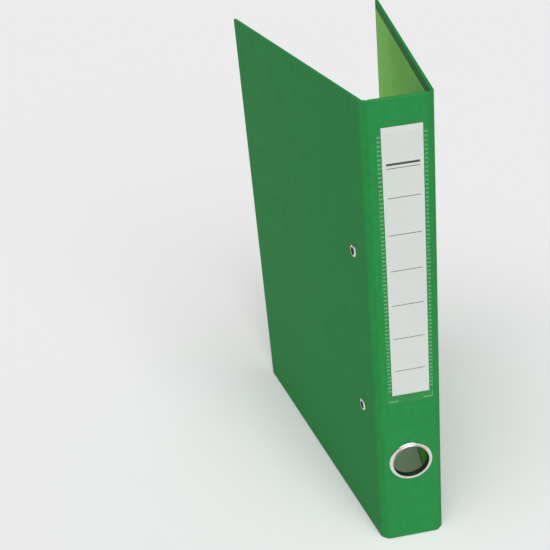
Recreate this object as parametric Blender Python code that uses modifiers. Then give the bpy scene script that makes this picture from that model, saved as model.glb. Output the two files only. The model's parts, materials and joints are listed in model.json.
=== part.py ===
"""A two-ring file for A4 paper: a wrapped board case with scored folds, a spine label in a clear
pocket, a finger ring, and a riveted ring mechanism. Metres, +Z up, standing on its lower edges.
The origin is the centre of the spine's lower end, and the spine's outer face looks along -Y."""

import math

import bmesh
import bpy
from mathutils import Matrix, Vector

# Case
FILE_HEIGHT = 0.320
SPINE_WIDTH = 0.035  # from crease to crease
FOLD_WIDTH = 0.006  # the scored strip between spine and cover
COVER_WIDTH = 0.232  # from crease to fore-edge
PANEL_THICKNESS = 0.0024
WRAP_THICKNESS = 0.0003
BOARD_GAP = 0.0001  # around a board, inside its wrap
TURN_IN = 0.014  # how far the wrap is folded over onto a panel's inner face
PANEL_SETBACK = 0.0005  # from a crease to the panel's edge
FOLD_SETBACK = 0.0003  # from a crease to the fold strip's edge
FOLD_THICKNESS = 0.0005
LINING_THICKNESS = 0.00025
LINING_MARGIN = 0.006
LINING_GAP = 0.0001
REAR_ANGLE = math.radians(80)  # between the spine's plane and the cover, 90 when the file is shut
FRONT_ANGLE = math.radians(83)

# Finger hole and its two rings
FINGER_HOLE_Z = 0.066
FINGER_RING_INNER_R = 0.01225
FINGER_RING_OUTER_R = 0.0150
FINGER_BARREL_R = 0.01285
FINGER_HOLE_R = FINGER_BARREL_R + 0.0003

# Label and its pocket
LABEL_WIDTH = 0.0246
LABEL_CENTRE_X = 0.0015
LABEL_BOTTOM = 0.121
LABEL_TOP = 0.303
LABEL_THICKNESS = 0.00025
LABEL_GAP = 0.00015
POCKET_LEFT = -0.0138
POCKET_RIGHT = 0.0166
POCKET_BOTTOM = 0.1145
POCKET_TOP = 0.2995
POCKET_FILM = 0.0002
POCKET_STOP_LENGTH = 0.0085  # each of the two short welds that the label stands on
POCKET_SLACK = 0.0006  # beside the label

# Ring mechanism, in its own frame: X from the fold to the fore-edge, Y up the file, Z off the cover
MECHANISM_FROM_CREASE = 0.019
RING_PITCH = 0.080
RIVET_PITCH = 0.116
SHIELD_LENGTH = 0.125
SHIELD_HALF_WIDTH = 0.010
SHIELD_TIP_HALF_WIDTH = 0.0054
SHIELD_TAPER_START = 0.046
SHIELD_CROWN = 0.0055
SHIELD_THICKNESS = 0.0007
SHIELD_BASE = 0.00015
SHIELD_FLANGE = 0.0008  # height of the flat end over SHIELD_BASE
FLANGE_START = 0.0535
ARCH_END = 0.0470
DOME_Y = 0.0475
DOME_R = 0.0066
DOME_HEIGHT = 0.0068
BOSS_RISE = 0.0006
BOSS_END = 0.0120
BOSS_HALF_WIDTH = 0.0045
BOSS_FLARE = 0.12
SLOT_INNER_X = 0.0044
SLOT_OUTER_X = 0.0112  # past the shield's side, which the open rings swing over
SLOT_BOTTOM = 0.0024
SLOT_HALF_HEIGHT = 0.0019
EYE_HALF_WIDTH = 0.0026
EYE_HALF_HEIGHT = 0.0013
LIP_WIDTH = 0.0013  # turned in under each long side, where it carries a blade's outer edge
LIP_THICKNESS = 0.0006
HOLLOW_END = 0.0500

BLADE_PIVOT_X = 0.0082
BLADE_PIVOT_Z = 0.0018
BLADE_WIDTH = 0.0078
BLADE_OVERHANG = 0.0003  # beyond the pivot
BLADE_THICKNESS = 0.0010
BLADE_LENGTH = 0.092
BLADE_DROOP = math.radians(8)  # below level while the rings are shut

WIRE_R = 0.0012
RING_R = 0.0137  # of the wire's centre line
RING_CENTRE_Z = 0.0163
RING_LEG_ANGLE = math.radians(138)  # from the top of the ring to where the wire turns straight
RING_LEG_END_Z = 0.0031
RING_TIP_GAP = 0.0003
RING_ARC_STEPS = 18
TENON_R = 0.0008
TENON_HOLE_R = 0.0011
TENON_TOP = 0.0014  # over the end of the wire's centre line
TENON_HEAD_R = 0.0015
TENON_HEAD_TOP = -0.00232
TENON_HEAD_BOTTOM = -0.00272
TONGUE_R = 0.00055
TONGUE_LENGTH = 0.0009
SOCKET_R = 0.00085
SOCKET_DEPTH = 0.0012

RIVET_SHANK_R = 0.0028
RIVET_HOLE_R = 0.0031
RIVET_BORE_R = 0.0022
RIVET_HEAD_R = 0.0040
RIVET_HEAD_HEIGHT = 0.0009
RIVET_HEAD_SIDE = 0.0003  # the head's straight side, before it rounds over
RIVET_CROWN_R = 0.0028  # where the rounded head is highest
RIVET_RIM_R = 0.0032  # of the end curled over the shield
RIVET_RIM_HEIGHT = 0.0007
RIVET_CLEARANCE = 0.00015

SKIN_FRONT = -PANEL_THICKNESS / 2  # the spine's outer face
COVER_INNER = PANEL_THICKNESS + LINING_GAP + LINING_THICKNESS  # from outer face to lining face


# --- Scene, collections and materials ---------------------------------------------------------


def clear_scene():
    for obj in list(bpy.data.objects):
        bpy.data.objects.remove(obj)


def new_collection(name):
    made = bpy.data.collections.new(name)
    bpy.context.scene.collection.children.link(made)
    return made


def make_material(name, colour, roughness, metallic=0.0, alpha=1.0):
    made = bpy.data.materials.new(name)
    made.use_nodes = True
    shader = made.node_tree.nodes["Principled BSDF"]
    shader.inputs["Base Color"].default_value = (*colour, 1.0)
    shader.inputs["Roughness"].default_value = roughness
    shader.inputs["Metallic"].default_value = metallic
    shader.inputs["Alpha"].default_value = alpha
    return made


# --- Shapes -----------------------------------------------------------------------------------


def place(obj, parent=None, location=(0, 0, 0), rotation=(0, 0, 0)):
    obj.parent = parent
    obj.location = location
    obj.rotation_euler = rotation
    return obj


def add_part(name, mesh, material, parent=None, location=(0, 0, 0), rotation=(0, 0, 0)):
    obj = bpy.data.objects.new(name, mesh)
    obj.data.materials.append(material)
    PARTS.objects.link(obj)
    return place(obj, parent, location, rotation)


def add_cutter(name, mesh, parent=None, location=(0, 0, 0), rotation=(0, 0, 0)):
    obj = bpy.data.objects.new(name, mesh)
    obj.hide_render = True
    obj.display_type = "WIRE"
    CUTTERS.objects.link(obj)
    return place(obj, parent, location, rotation)


def add_frame(name, parent=None, location=(0, 0, 0), rotation=(0, 0, 0)):
    obj = bpy.data.objects.new(name, None)
    obj.empty_display_size = 0.01
    PARTS.objects.link(obj)
    return place(obj, parent, location, rotation)


def box_mesh(name, low, high):
    bm = bmesh.new()
    bmesh.ops.create_cube(bm, size=1.0)
    low, high = Vector(low), Vector(high)
    size = high - low
    bmesh.ops.scale(bm, vec=size, verts=bm.verts)
    bmesh.ops.translate(bm, vec=(low + high) / 2, verts=bm.verts)
    return finish_mesh(bm, name)


def cylinder_mesh(name, radius, low, high, axis="Z", segments=24, second_radius=None):
    """A cylinder from low to high along one axis, or a cone with second_radius at its high end."""
    bm = bmesh.new()
    end_radius = radius if second_radius is None else second_radius
    bmesh.ops.create_cone(
        bm, cap_ends=True, segments=segments, radius1=radius, radius2=end_radius, depth=high - low
    )
    bmesh.ops.translate(bm, vec=(0, 0, (low + high) / 2), verts=bm.verts)
    turn = {
        "Z": Matrix(),
        "X": Matrix.Rotation(math.pi / 2, 4, "Y"),
        "Y": Matrix.Rotation(-math.pi / 2, 4, "X"),
    }
    bmesh.ops.transform(bm, matrix=turn[axis], verts=bm.verts)
    return finish_mesh(bm, name)


def finish_mesh(bm, name):
    mesh = bpy.data.meshes.new(name)
    bm.to_mesh(mesh)
    bm.free()
    return mesh


def profile_mesh(name, profile):
    """A closed loop of edges in the XZ plane, for a Screw modifier to turn about Z."""
    bm = bmesh.new()
    verts = [bm.verts.new((radius, 0, height)) for radius, height in profile]
    for first, second in zip(verts, verts[1:] + verts[:1]):
        bm.edges.new((first, second))
    return finish_mesh(bm, name)


def turn(obj, steps):
    screw = obj.modifiers.new("Turn", "SCREW")
    screw.steps = steps
    screw.render_steps = steps
    screw.use_merge_vertices = True
    screw.merge_threshold = 0.00001
    screw.use_smooth_shade = True


def combine(obj, other, operation="DIFFERENCE"):
    boolean = obj.modifiers.new(operation.title(), "BOOLEAN")
    boolean.operation = operation
    boolean.object = other


def bend_edges(obj, width, segments=2):
    bevel = obj.modifiers.new("Rounded edges", "BEVEL")
    bevel.width = width
    bevel.segments = segments
    bevel.limit_method = "ANGLE"


def wire_mesh(name, points, radius):
    """A round wire along the points as a mesh with welded caps."""
    curve = bpy.data.curves.new(name, "CURVE")
    curve.dimensions = "3D"
    curve.bevel_depth = radius
    curve.bevel_resolution = 2
    curve.use_fill_caps = True
    spline = curve.splines.new("POLY")
    spline.points.add(len(points) - 1)
    for point, position in zip(spline.points, points):
        point.co = (*position, 1)
    obj = bpy.data.objects.new(name, curve)
    PARTS.objects.link(obj)
    graph = bpy.context.evaluated_depsgraph_get()
    mesh = bpy.data.meshes.new_from_object(obj.evaluated_get(graph))
    bpy.data.objects.remove(obj)
    bpy.data.curves.remove(curve)
    bm = bmesh.new()
    bm.from_mesh(mesh)
    bmesh.ops.remove_doubles(bm, verts=bm.verts, dist=0.00001)
    bm.to_mesh(mesh)
    bm.free()
    mesh.shade_smooth()
    mesh.set_sharp_from_angle(angle=math.radians(50))
    return mesh


# --- Case -------------------------------------------------------------------------------------


def add_panel(name, frame, start, end, inward, turned_end):
    """A board in its wrap, with a lining on the inner face. The panel runs from start to end along
    X, its outer face is at Y 0, and its inner face is PANEL_THICKNESS from it, on the side that
    inward says. turned_end says whether the wrap also turns in over the end at X = end."""

    def limits(x0, x1, depth0, depth1, z0, z1):
        ys = sorted((inward * depth0, inward * depth1))
        return (x0, ys[0], z0), (x1, ys[1], z1)

    past = 0.002
    wall = WRAP_THICKNESS
    cavity_end = end - wall if turned_end else end + past
    window_end = end - TURN_IN if turned_end else end + past
    wrap = add_part(
        name + "_wrap",
        box_mesh(name, *limits(start, end, 0, PANEL_THICKNESS, 0, FILE_HEIGHT)),
        FOIL,
        frame,
    )
    cavity = limits(start - past, cavity_end, wall, PANEL_THICKNESS - wall, wall, FILE_HEIGHT - wall)
    window = limits(
        start - past, window_end, PANEL_THICKNESS / 2, PANEL_THICKNESS + past, TURN_IN, FILE_HEIGHT - TURN_IN
    )
    combine(wrap, add_cutter(name + "_cavity", box_mesh("cavity", *cavity), frame))
    combine(wrap, add_cutter(name + "_window", box_mesh("window", *window), frame))

    skin = WRAP_THICKNESS + BOARD_GAP
    board_end = end - skin if turned_end else end
    board = add_part(
        name + "_board",
        box_mesh(name, *limits(start, board_end, skin, PANEL_THICKNESS - skin, skin, FILE_HEIGHT - skin)),
        GREYBOARD,
        frame,
    )
    lining_end = end - LINING_MARGIN if turned_end else end
    lining = add_part(
        name + "_lining",
        box_mesh(
            name,
            *limits(
                start,
                lining_end,
                PANEL_THICKNESS + LINING_GAP,
                COVER_INNER,
                LINING_MARGIN,
                FILE_HEIGHT - LINING_MARGIN,
            ),
        ),
        LINING,
        frame,
    )
    return wrap, board, lining


def add_cover(name, crease_x, direction, angle):
    """A fold strip and a cover hung on it. direction is -1 for the side at -X and 1 for +X."""
    heading = angle if direction > 0 else math.pi - angle
    half_heading = angle / 2 if direction > 0 else math.pi - angle / 2
    fold_frame = add_frame(name + "_fold_axis", None, (crease_x, SKIN_FRONT, 0), (0, 0, half_heading))
    cover_frame = add_frame(
        name + "_cover_axis", fold_frame, (FOLD_WIDTH, 0, 0), (0, 0, heading - half_heading)
    )
    depth = sorted((0, direction * FOLD_THICKNESS))
    strip = add_part(
        name + "_fold_strip",
        box_mesh(
            name,
            (FOLD_SETBACK, depth[0], 0),
            (FOLD_WIDTH - FOLD_SETBACK, depth[1], FILE_HEIGHT),
        ),
        FOIL,
        fold_frame,
    )
    pieces = add_panel(name + "_cover", cover_frame, PANEL_SETBACK, COVER_WIDTH, direction, True)
    return cover_frame, strip, pieces


def add_spine():
    half = SPINE_WIDTH / 2 - PANEL_SETBACK
    frame = add_frame("spine_frame", None, (0, SKIN_FRONT, 0))
    pieces = add_panel("spine", frame, -half, half, 1, False)
    for piece in pieces:
        hole = cylinder_mesh("finger_hole", FINGER_HOLE_R, -0.005, 0.010, "Y", 48)
        combine(piece, add_cutter(piece.name + "_finger_hole", hole, frame, (0, 0, FINGER_HOLE_Z)))
    return frame


# --- Finger rings -----------------------------------------------------------------------------


def add_finger_rings():
    """An eyelet with a crowned outer rim, and the washer inside that its barrel is curled over."""
    facing_out = (math.pi / 2, 0, 0)  # turns +Z to -Y
    place_at = (0, SKIN_FRONT, FINGER_HOLE_Z)
    washer_top = -(COVER_INNER + 0.0001)
    washer_bottom = washer_top - 0.0004
    curl_top = washer_bottom - 0.0001
    curl_bottom = curl_top - 0.0004
    rim = FINGER_RING_OUTER_R
    bore = FINGER_RING_INNER_R
    barrel = FINGER_BARREL_R
    eyelet_profile = [
        (13.7e-3, 1.05e-3),
        (14.5e-3, 0.85e-3),
        (rim, 0.45e-3),
        (rim, 0.10e-3),
        (barrel, 0.10e-3),
        (barrel, curl_top),
        (14.1e-3, curl_top),
        (14.1e-3, curl_bottom + 0.0001),
        (13.6e-3, curl_bottom),
        (12.8e-3, curl_bottom),
        (bore, curl_bottom + 0.0005),
        (bore, 0.30e-3),
        (12.8e-3, 0.85e-3),
    ]
    eyelet = add_part(
        "finger_ring_eyelet", profile_mesh("eyelet", eyelet_profile), NICKEL, None, place_at, facing_out
    )
    turn(eyelet, 40)
    washer_profile = [
        (15.3e-3, washer_top),
        (15.3e-3, washer_bottom + 0.0001),
        (15.1e-3, washer_bottom),
        (13.15e-3, washer_bottom),
        (13.15e-3, washer_top),
    ]
    washer = add_part(
        "finger_ring_washer", profile_mesh("washer", washer_profile), NICKEL, None, place_at, facing_out
    )
    turn(washer, 40)


# --- Label ------------------------------------------------------------------------------------


def add_label():
    """A clear pocket welded to the spine along both sides, with two short stops at its lower end,
    and the card that slides into it from above."""
    back = SKIN_FRONT - 0.00005
    card_back = SKIN_FRONT - LABEL_GAP
    card_front = card_back - LABEL_THICKNESS
    film_back = card_front - LABEL_GAP
    film_front = film_back - POCKET_FILM
    left = LABEL_CENTRE_X - LABEL_WIDTH / 2
    right = LABEL_CENTRE_X + LABEL_WIDTH / 2
    pocket = add_part(
        "label_pocket",
        box_mesh("pocket", (POCKET_LEFT, film_front, POCKET_BOTTOM), (POCKET_RIGHT, back, POCKET_TOP)),
        CLEAR_FILM,
    )
    past = 0.002
    room = box_mesh(
        "room",
        (left - POCKET_SLACK, film_back, LABEL_BOTTOM - 0.0002),
        (right + POCKET_SLACK, back + past, POCKET_TOP + past),
    )
    notch = box_mesh(
        "notch",
        (POCKET_LEFT + POCKET_STOP_LENGTH, film_back, POCKET_BOTTOM - past),
        (POCKET_RIGHT - POCKET_STOP_LENGTH, back + past, LABEL_BOTTOM + past),
    )
    combine(pocket, add_cutter("pocket_room", room))
    combine(pocket, add_cutter("pocket_notch", notch))
    add_part(
        "label_card",
        box_mesh("card", (left, card_front, LABEL_BOTTOM), (right, card_back, LABEL_TOP)),
        CARD,
    )


# --- Ring mechanism ---------------------------------------------------------------------------


def smooth_step(low, high, value):
    t = min(1.0, max(0.0, (value - low) / (high - low)))
    return t * t * (3 - 2 * t)


def shield_half_width(y):
    taper = max(0.0, abs(y) - SHIELD_TAPER_START) / (SHIELD_LENGTH / 2 - SHIELD_TAPER_START)
    return SHIELD_HALF_WIDTH + (SHIELD_TIP_HALF_WIDTH - SHIELD_HALF_WIDTH) * taper**1.5


def shield_height(x, y, inset):
    """The shield's outer face, or with inset its inner face: an arch that ends in flat rivet
    flanges, with a raised tongue from each ring towards the middle and a dome beyond each ring."""
    along = abs(y)
    flat = smooth_step(ARCH_END, FLANGE_START, along)
    power = 2.6 + 5 * flat
    rise = SHIELD_CROWN + (SHIELD_FLANGE - SHIELD_CROWN) * flat - inset
    across = min(1.0, abs(x) / (shield_half_width(y) - inset))
    height = rise * (1 - across**power) ** (1 / power)
    tongue_half = BOSS_HALF_WIDTH + BOSS_FLARE * (along - BOSS_END)
    tongue = smooth_step(BOSS_END - 0.001, BOSS_END + 0.001, along)
    tongue *= 1 - smooth_step(tongue_half - 0.001, tongue_half + 0.001, abs(x))
    height += BOSS_RISE * tongue * (1 - flat)
    reach = math.hypot(x, along - DOME_Y) / (DOME_R - inset)
    dome = (DOME_HEIGHT - inset) * max(0.0, 1 - reach**2.6) ** (1 / 2.2)
    return SHIELD_BASE + max(height, dome)


def shield_mesh(name, inset, floor, least, half_length):
    """The solid between a flat floor and the shield's face, at least this thick."""
    bm = bmesh.new()
    bmesh.ops.create_grid(bm, x_segments=14, y_segments=50, size=1.0)
    made = bmesh.ops.extrude_face_region(bm, geom=list(bm.faces))
    bottom = {item for item in made["geom"] if isinstance(item, bmesh.types.BMVert)}
    for vert in bm.verts:
        y = vert.co.y * half_length
        x = (shield_half_width(y) - inset) * math.sin(vert.co.x * math.pi / 2)
        height = floor if vert in bottom else max(shield_height(x, y, inset), floor + least)
        vert.co = (x, y, height)
    bmesh.ops.recalc_face_normals(bm, faces=bm.faces)
    bmesh.ops.triangulate(bm, faces=bm.faces)
    return finish_mesh(bm, name)


def add_shield(mechanism):
    outer = shield_mesh("shield", 0, SHIELD_BASE, SHIELD_FLANGE, SHIELD_LENGTH / 2)
    shield = add_part("mechanism_shield", outer, NICKEL, mechanism)
    shield.data.shade_smooth()
    shield.data.set_sharp_from_angle(angle=math.radians(50))
    lip_top = SHIELD_BASE + LIP_THICKNESS
    hollow = shield_mesh("hollow", SHIELD_THICKNESS, lip_top, 0.0002, HOLLOW_END)
    combine(shield, add_cutter("shield_hollow", hollow, mechanism))
    mouth_half_width = SHIELD_HALF_WIDTH - SHIELD_THICKNESS - LIP_WIDTH
    mouth = box_mesh(
        "mouth",
        (-mouth_half_width, -ARCH_END, -0.002),
        (mouth_half_width, ARCH_END, lip_top + 0.0006),
    )
    combine(shield, add_cutter("shield_mouth", mouth, mechanism))
    for end in (-1, 1):
        ring_y = end * RING_PITCH / 2
        for side in (-1, 1):
            xs = sorted((side * SLOT_INNER_X, side * SLOT_OUTER_X))
            slot = box_mesh(
                "slot", (xs[0], -SLOT_HALF_HEIGHT, SLOT_BOTTOM), (xs[1], SLOT_HALF_HEIGHT, 0.012)
            )
            combine(shield, add_cutter("ring_slot", slot, mechanism, (0, ring_y, 0)))
        eye = cylinder_mesh("eye", EYE_HALF_WIDTH, 0.002, 0.012)
        cutter = add_cutter("shield_eye", eye, mechanism, (0, ring_y, 0))
        cutter.scale = (1, EYE_HALF_HEIGHT / EYE_HALF_WIDTH, 1)
        combine(shield, cutter)
        hole = cylinder_mesh("rivet_hole", RIVET_HOLE_R, -0.002, 0.010)
        combine(shield, add_cutter("shield_rivet_hole", hole, mechanism, (0, end * RIVET_PITCH / 2, 0)))
    return shield


def ring_points(side):
    """The wire's centre line in the XZ plane, from the foot on the blade to the tip at the top."""
    start = math.pi / 2 + RING_LEG_ANGLE
    bend = Vector((math.cos(start), math.sin(start))) * RING_R
    tangent = Vector((-math.sin(start), math.cos(start)))
    leg = (RING_CENTRE_Z + bend.y - RING_LEG_END_Z) / -tangent.y
    foot = bend + tangent * leg
    points = [foot]
    for step in range(RING_ARC_STEPS + 1):
        angle = start - RING_LEG_ANGLE * step / RING_ARC_STEPS
        points.append(Vector((math.cos(angle), math.sin(angle))) * RING_R)
    points[-1].x -= RING_TIP_GAP / 2
    return [(-side * point.x, 0, RING_CENTRE_Z + point.y) for point in points]


def add_ring_half(name, blade, side, y):
    """Half a ring, with a tenon through the blade and its peened head. The half at -X ends in a
    tongue, and the half at +X has the socket for it."""
    origin = Vector((side * BLADE_PIVOT_X, 0, BLADE_PIVOT_Z))
    points = [Vector(point) - origin for point in ring_points(side)]
    half = add_part(name, wire_mesh(name, points, WIRE_R), NICKEL, blade, (0, y, 0))
    foot = (points[0].x, y, points[0].z)
    square_to_blade = (0, -side * BLADE_DROOP, 0)
    tenon = cylinder_mesh("tenon", TENON_R, TENON_HEAD_TOP - 0.0002, TENON_TOP, segments=12)
    combine(half, add_cutter(name + "_tenon", tenon, blade, foot, square_to_blade), "UNION")
    head = cylinder_mesh("head", TENON_HEAD_R, TENON_HEAD_BOTTOM, TENON_HEAD_TOP, segments=12)
    combine(half, add_cutter(name + "_head", head, blade, foot, square_to_blade), "UNION")
    tip = (-origin.x, y, RING_CENTRE_Z + RING_R - origin.z)
    if side < 0:
        tongue = cylinder_mesh(
            "tongue", TONGUE_R, -0.001, TONGUE_LENGTH - RING_TIP_GAP / 2, "X", 12, TONGUE_R * 0.7
        )
        combine(half, add_cutter(name + "_tongue", tongue, blade, tip), "UNION")
    else:
        socket = cylinder_mesh("socket", SOCKET_R, -0.001, SOCKET_DEPTH, "X", 12)
        combine(half, add_cutter(name + "_socket", socket, blade, tip))
    return half


def add_blade(name, mechanism, side):
    """A hinged plate under the shield with both ring halves of one side riveted to it."""
    frame = add_frame(
        name + "_axis", mechanism, (side * BLADE_PIVOT_X, 0, BLADE_PIVOT_Z), (0, 0, 0)
    )
    xs = sorted((side * BLADE_OVERHANG, -side * BLADE_WIDTH))
    plate = add_part(
        name + "_blade",
        box_mesh(
            name,
            (xs[0], -BLADE_LENGTH / 2, -BLADE_THICKNESS / 2),
            (xs[1], BLADE_LENGTH / 2, BLADE_THICKNESS / 2),
        ),
        STEEL,
        frame,
        rotation=(0, side * -BLADE_DROOP, 0),
    )
    for word, end in (("upper", 1), ("lower", -1)):
        y = end * RING_PITCH / 2
        add_ring_half(f"{word}_ring_{name}", frame, side, y)
        foot = Vector(ring_points(side)[0]) - Vector((side * BLADE_PIVOT_X, 0, BLADE_PIVOT_Z))
        hole = cylinder_mesh("tenon_hole", TENON_HOLE_R, -0.004, 0.004, segments=12)
        droop = (0, -side * BLADE_DROOP, 0)
        cutter = add_cutter(f"{name}_{word}_hole", hole, frame, (foot.x, y, foot.z), droop)
        combine(plate, cutter)
    return plate


def add_rivets(mechanism):
    """Hollow rivets: a rounded head outside the cover, a shank, and a rim curled over the shield."""
    outside = -COVER_INNER - RIVET_CLEARANCE
    rim = SHIELD_BASE + SHIELD_FLANGE + RIVET_CLEARANCE
    curl = RIVET_RIM_HEIGHT * 0.57
    shoulder = (RIVET_HEAD_R * 0.42 + RIVET_CROWN_R * 0.58, outside - RIVET_HEAD_HEIGHT * 0.78)
    profile = [
        (RIVET_RIM_R - 0.0006, rim + RIVET_RIM_HEIGHT),
        (RIVET_RIM_R - 0.0001, rim + curl),
        (RIVET_RIM_R, rim),
        (RIVET_SHANK_R, rim),
        (RIVET_SHANK_R, outside),
        (RIVET_HEAD_R, outside),
        (RIVET_HEAD_R, outside - RIVET_HEAD_SIDE),
        shoulder,
        (RIVET_CROWN_R, outside - RIVET_HEAD_HEIGHT),
        (RIVET_BORE_R, outside - RIVET_HEAD_HEIGHT * 0.67),
        (RIVET_BORE_R, rim + curl),
    ]
    for word, end in (("upper", 1), ("lower", -1)):
        mesh = profile_mesh("rivet", profile)
        rivet = add_part(f"{word}_rivet", mesh, NICKEL, mechanism, (0, end * RIVET_PITCH / 2, 0))
        turn(rivet, 20)


def add_mechanism(cover_frame, cover_pieces):
    mechanism = add_frame(
        "mechanism_frame",
        cover_frame,
        (MECHANISM_FROM_CREASE, -COVER_INNER, FILE_HEIGHT / 2),
        (math.pi / 2, 0, 0),
    )
    for piece in cover_pieces:
        for word, end in (("upper", 1), ("lower", -1)):
            hole = cylinder_mesh("cover_hole", RIVET_HOLE_R, -0.008, 0.004)
            cutter = add_cutter(
                f"{piece.name}_{word}_hole", hole, mechanism, (0, end * RIVET_PITCH / 2, 0)
            )
            combine(piece, cutter)
    add_shield(mechanism)
    add_blade("fold_side", mechanism, -1)
    add_blade("edge_side", mechanism, 1)
    add_rivets(mechanism)


clear_scene()
PARTS = new_collection("two_ring_file")
CUTTERS = new_collection("cutters")
FOIL = make_material("green_foil", (0.025, 0.27, 0.06), 0.45)
GREYBOARD = make_material("greyboard", (0.32, 0.29, 0.25), 0.9)
LINING = make_material("light_green_lining", (0.16, 0.38, 0.09), 0.7)
NICKEL = make_material("nickel_plate", (0.78, 0.76, 0.73), 0.18, 1.0)
STEEL = make_material("spring_steel", (0.55, 0.55, 0.56), 0.35, 1.0)
CLEAR_FILM = make_material("clear_film", (0.9, 0.95, 0.92), 0.15, 0.0, 0.25)
CARD = make_material("white_card", (0.66, 0.67, 0.66), 0.6)

add_spine()
add_finger_rings()
add_label()
rear_frame, _, rear_pieces = add_cover("rear", -SPINE_WIDTH / 2, -1, REAR_ANGLE)
add_cover("front", SPINE_WIDTH / 2, 1, FRONT_ANGLE)
add_mechanism(rear_frame, rear_pieces)
bpy.context.view_layer.update()
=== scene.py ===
"""A two-ring file for A4 paper: the foil-covered case with its folds and linings, the ringed finger
hole, the spine label in its welded pocket and the bright ring mechanism. Every piece but the bends
at the creases rides on a body of the frame, and sizes are in metres."""

import json
import math

import bmesh
import bpy
from mathutils import Matrix, Vector


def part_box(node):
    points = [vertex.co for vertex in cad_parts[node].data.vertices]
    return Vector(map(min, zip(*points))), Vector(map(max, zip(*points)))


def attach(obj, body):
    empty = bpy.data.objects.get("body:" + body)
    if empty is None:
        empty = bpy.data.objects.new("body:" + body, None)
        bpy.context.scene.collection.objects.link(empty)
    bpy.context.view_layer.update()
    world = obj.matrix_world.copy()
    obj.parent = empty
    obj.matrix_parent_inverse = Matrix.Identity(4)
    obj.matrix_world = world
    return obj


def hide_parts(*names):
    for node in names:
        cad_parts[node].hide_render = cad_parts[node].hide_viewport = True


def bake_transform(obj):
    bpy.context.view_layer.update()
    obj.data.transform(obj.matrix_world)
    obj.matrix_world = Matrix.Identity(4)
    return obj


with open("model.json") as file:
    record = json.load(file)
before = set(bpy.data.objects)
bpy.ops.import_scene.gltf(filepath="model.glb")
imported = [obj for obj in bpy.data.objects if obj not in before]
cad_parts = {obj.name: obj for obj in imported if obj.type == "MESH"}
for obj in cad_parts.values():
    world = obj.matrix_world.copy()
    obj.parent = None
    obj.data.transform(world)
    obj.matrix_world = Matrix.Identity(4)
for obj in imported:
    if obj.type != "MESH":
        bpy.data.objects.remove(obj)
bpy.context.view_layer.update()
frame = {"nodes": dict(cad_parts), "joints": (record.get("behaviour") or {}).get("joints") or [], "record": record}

bl_info = {
    "name": "Two-ring file",
    "version": (1, 0, 0),
    "blender": (4, 5, 0),
    "location": "View3D > Sidebar > Two-ring file",
    "description": "Builds a two-ring A4 file with its case, label pocket, finger ring and mechanism",
    "category": "Object",
}


# --- What the frame says ----------------------------------------------------------------------


UP = Vector((0, 0, 1))


def joint_point(name):
    """Where a joint's axis crosses the floor plane."""
    place = next(joint for joint in frame["joints"] if joint["name"] == name)["pos_m"]
    return Vector((place[0], place[1], 0))


def centre_of(node):
    return sum(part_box(node), Vector()) / 2


def outward(mount):
    return Vector(next(m for m in frame["record"]["mounts"] if m["name"] == mount)["axis"]).normalized()


class Hinge:
    """One side of the case: its two creases and the directions of its fold strip and cover."""

    def __init__(self, word, hand):
        self.word = word
        self.hand = hand
        self.inner_crease = joint_point(f"{word}_fold_crease")
        self.outer_crease = joint_point(f"{word}_cover_crease")
        self.across_spine = Vector((-hand, 0, 0))
        self.spine_inward = Vector((0, 1, 0))
        self.along_strip = (self.outer_crease - self.inner_crease).normalized()
        self.strip_inward = UP.cross(self.along_strip) * hand
        self.cover_inward = -outward(f"{word}_cover_face")
        self.along_cover = self.cover_inward.cross(UP) * hand


REAR = Hinge("rear", -1)
FRONT = Hinge("front", 1)
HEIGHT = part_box("spine_wrap")[1].z
PANEL_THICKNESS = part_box("spine_wrap")[1].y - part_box("spine_wrap")[0].y
SPINE_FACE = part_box("spine_wrap")[0].y
COVER_WIDTH = max(
    (vert.co - REAR.outer_crease).dot(REAR.along_cover)
    for vert in frame["nodes"]["rear_cover_wrap"].data.vertices
)
LINING_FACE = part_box("spine_lining")[1].y - SPINE_FACE
FINGER_HOLE = Matrix.Translation((0, SPINE_FACE, centre_of("finger_ring_eyelet").z)) @ Matrix.Rotation(
    math.pi / 2, 4, "X"
)
BLADE_PIVOT_HEIGHT = 0.0018
MECHANISM_ORIGIN = (
    (joint_point("fold_side_ring_swing") + joint_point("edge_side_ring_swing")) / 2
    + UP * centre_of("mechanism_shield").z
    - REAR.cover_inward * BLADE_PIVOT_HEIGHT
)
MECHANISM = Matrix.Translation(MECHANISM_ORIGIN) @ Matrix(
    [
        [REAR.along_cover.x, 0, REAR.cover_inward.x, 0],
        [REAR.along_cover.y, 0, REAR.cover_inward.y, 0],
        [0, 1, 0, 0],
        [0, 0, 0, 1],
    ]
)
RING_PITCH = centre_of("upper_ring_fold_side").z - centre_of("lower_ring_fold_side").z
RIVET_PITCH = centre_of("upper_rivet").z - centre_of("lower_rivet").z

FINGER_HOLE_RADIUS = 0.0131
RIVET_HOLE_RADIUS = 0.0031
EDGE_HOLD = 0.0006
FACE_HOLD = 0.0004
LEAST_BEND = 0.00004


# --- Settings ---------------------------------------------------------------------------------


def length(name, description, default):
    return bpy.props.FloatProperty(
        name=name, description=description, default=default, min=0.0, subtype="DISTANCE", unit="LENGTH"
    )


def colour(name, description, default):
    return bpy.props.FloatVectorProperty(
        name=name, description=description, default=default, size=3, min=0.0, max=1.0, subtype="COLOR"
    )


class RingFileSizes(bpy.types.PropertyGroup):
    edge_radius: length("Edge radius", "Rounding of the covered board edges", 0.0008)
    fold_reach: length("Fold reach", "How far each bend spreads from its crease", 0.0014)
    strip_thickness: length("Strip thickness", "Thickness of the fold strips", 0.0008)
    lining_margin: length("Lining margin", "From a panel's edge to the lining paper", 0.006)
    weld_pitch: length("Weld pitch", "Spacing of the teeth pressed into the label pocket", 0.0027)
    rule_width: length("Rule width", "Width of the printed lines on the label", 0.0004)
    wire_radius: length("Wire radius", "Radius of the ring wire", 0.0012)


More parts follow.
